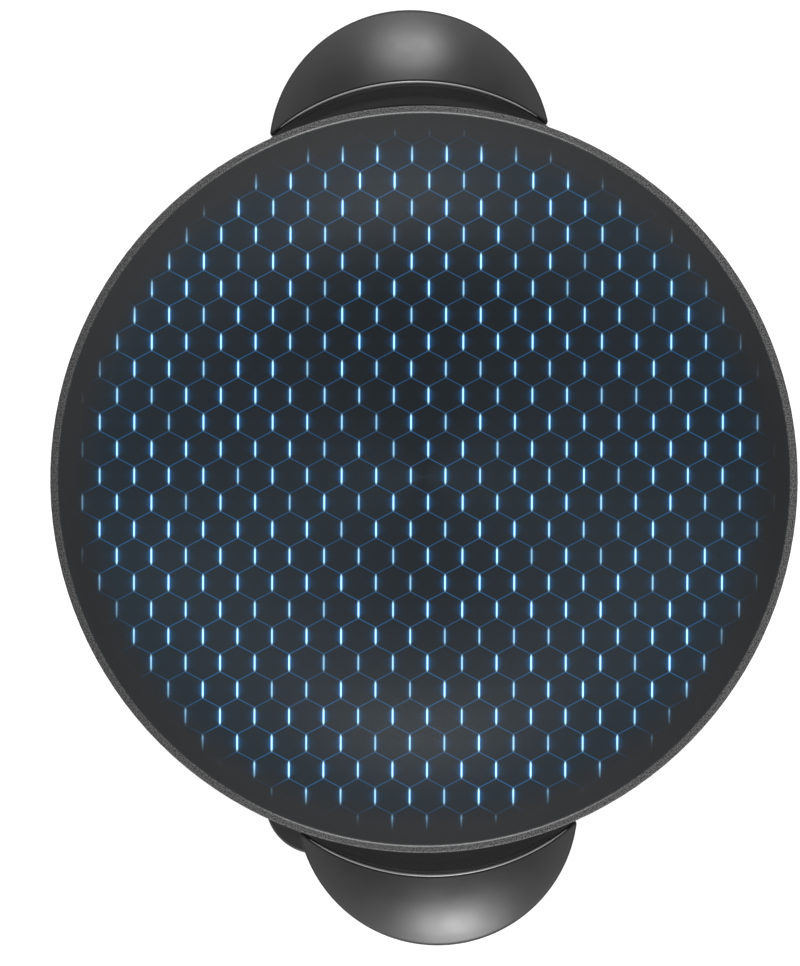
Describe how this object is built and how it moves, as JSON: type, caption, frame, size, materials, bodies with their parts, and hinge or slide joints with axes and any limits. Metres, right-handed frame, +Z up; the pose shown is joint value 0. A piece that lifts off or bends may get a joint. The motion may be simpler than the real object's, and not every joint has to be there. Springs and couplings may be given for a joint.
{
  "type": "electric wok",
  "caption": "Round electric wok: cast non-stick pan in a moulded cradle with half-moon handles, and a plug-in control probe with dial and release trigger.",
  "frame": {"origin": "on the table, under the pan's axis, midway between the handles' ends", "axes": "+Z up along the pan's axis, +Y to the rear handle, -Y to the user, +X to the user's right"},
  "size_m": [0.3799, 0.4862, 0.15],
  "materials": {
    "pan": "cast, dark non-stick coating with a faint blue honeycomb",
    "element_sheath": "satin sheath",
    "terminal_pins": "nickel plated",
    "ceramic": "white ceramic",
    "guard_sheet": "pressed sheet",
    "screws": "zinc plated",
    "shield_sheet": "bright sheet",
    "cradle": "black heat-proof moulding",
    "probe_housing": "black moulding",
    "probe_nose": "heat-proof moulding",
    "contact_metal": "plain",
    "sensor_steel": "polished",
    "gland_rubber": "soft",
    "lens": "clear red",
    "lamp_glass": "clear",
    "inner_steel": "zinc plated sheet",
    "contact_silver": "silver",
    "dial": "black moulding, pale numbers",
    "cam_plastic": "natural acetal",
    "trigger": "black moulding",
    "spring_steel": "wire",
    "handle": "satin black heat-proof moulding",
    "handle_grip": "matt black moulding",
    "feet": "soft"
  },
  "bodies": {
    "wok": {"pan": "pan", "heating_element": "element_sheath", "element_terminals": "terminal_pins", "terminal_insulators": "ceramic", "terminal_guard": "guard_sheet", "guard_screws": "screws", "heat_shield": "shield_sheet", "pan_spacers": "ceramic", "pan_screws": "screws", "base_shell": "cradle", "foot_screws": "screws", "rear_handle_cover": "handle", "rear_handle_grip": "handle_grip", "rear_handle_screws": "screws", "front_handle_cover": "handle", "front_handle_grip": "handle_grip", "front_handle_screws": "screws", "foot_rear_right": "feet", "foot_rear_left": "feet", "foot_front_left": "feet", "foot_front_right": "feet"},
    "probe": {"probe_upper_cover": "probe_housing", "probe_lower_cover": "probe_housing", "probe_screws": "screws", "probe_nose": "probe_nose", "contact_sockets": "contact_metal", "sensor_rod": "sensor_steel", "push_rod": "ceramic", "terminal_block": "ceramic", "cord_gland": "gland_rubber", "indicator_lens": "lens", "neon_lamp": "lamp_glass", "thermostat_frame": "inner_steel", "moving_leaf": "contact_metal", "fixed_leaf": "contact_metal", "contact_points": "contact_silver", "insulator_stack": "ceramic", "shaft_bush": "contact_metal", "trigger_pin": "inner_steel", "trigger_spring": "spring_steel"},
    "dial": {"dial_knob": "dial", "dial_shaft": "inner_steel", "dial_cam": "cam_plastic", "dial_clip": "inner_steel"},
    "follower": {"cam_follower": "cam_plastic"},
    "trigger": {"trigger_lever": "trigger"}
  },
  "joints": [
    {"name": "probe_pull", "type": "slide", "parent": "wok", "child": "probe", "axis": [-0.3502, -0.9367, 0], "range_m": [0, 0.07]},
    {"name": "dial_turn", "type": "hinge", "parent": "probe", "child": "dial", "pos_m": [-0.06433, -0.17207, 0.0658], "axis": [0, 0, -1], "range_deg": [0, 270]},
    {"name": "follower_slide", "type": "slide", "parent": "probe", "child": "follower", "axis": [0.3502, 0.9367, 0], "range_m": [0, 0.00271]},
    {"name": "trigger_squeeze", "type": "hinge", "parent": "probe", "child": "trigger", "pos_m": [-0.04343, -0.11615, 0.0158], "axis": [-0.9367, 0.3502, 0], "range_deg": [0, 8], "stiffness_Nm_per_rad": 0.3, "springref_deg": -8.59, "deforming": ["trigger_spring"]}
  ],
  "couplings": [
    {"joint": "follower_slide", "follows": "dial_turn", "m_per_rad": 0.00057296}
  ]
}
